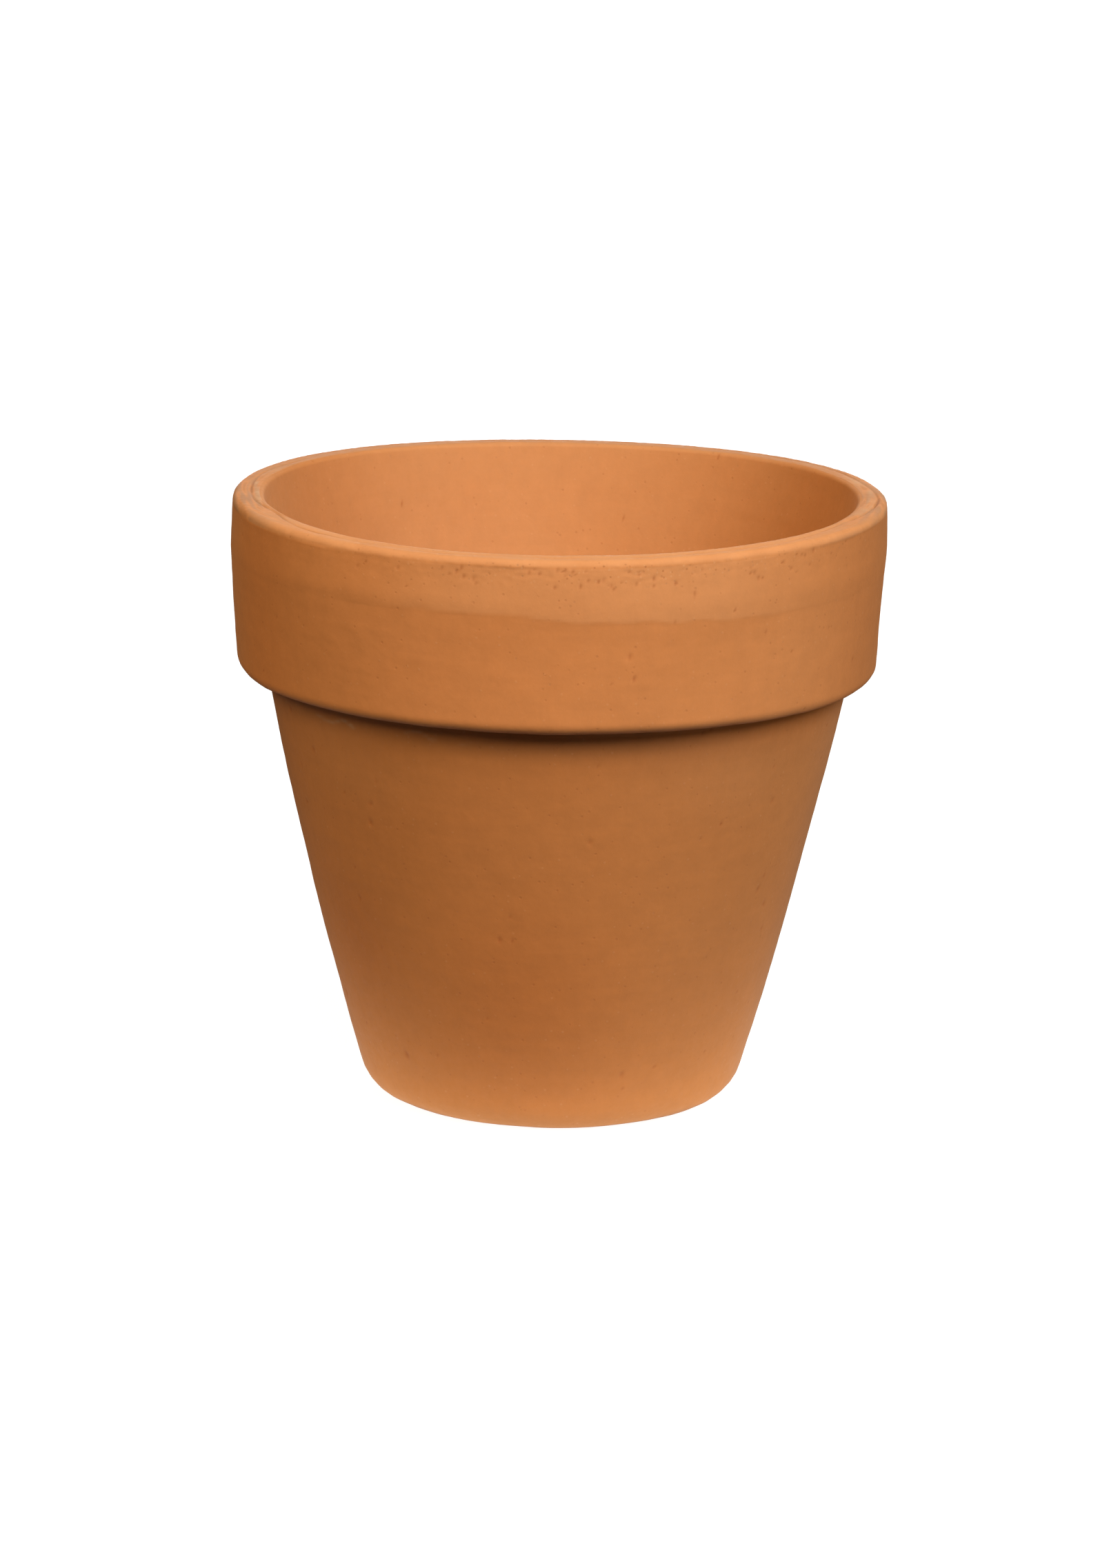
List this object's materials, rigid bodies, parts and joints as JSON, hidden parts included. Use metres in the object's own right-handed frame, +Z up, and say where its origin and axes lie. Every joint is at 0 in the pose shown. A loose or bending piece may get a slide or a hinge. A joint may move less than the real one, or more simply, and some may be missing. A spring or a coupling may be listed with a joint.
{
  "type": "flower pot",
  "caption": "Unglazed terracotta flower pot: a round wall that widens upward to a plain raised collar at the mouth, with a rounded heel and a central drain hole.",
  "frame": {"origin": "centre of the underside, on the ground plane the pot stands on", "axes": "+Z up along the pot's axis of revolution, from the base to the mouth; X and Y are interchangeable"},
  "size_m": [0.1498, 0.1498, 0.1397],
  "materials": {
    "terracotta": "matte unglazed fired clay, fine sandy grain"
  },
  "bodies": {
    "root": {"pot": "terracotta"}
  },
  "joints": []
}
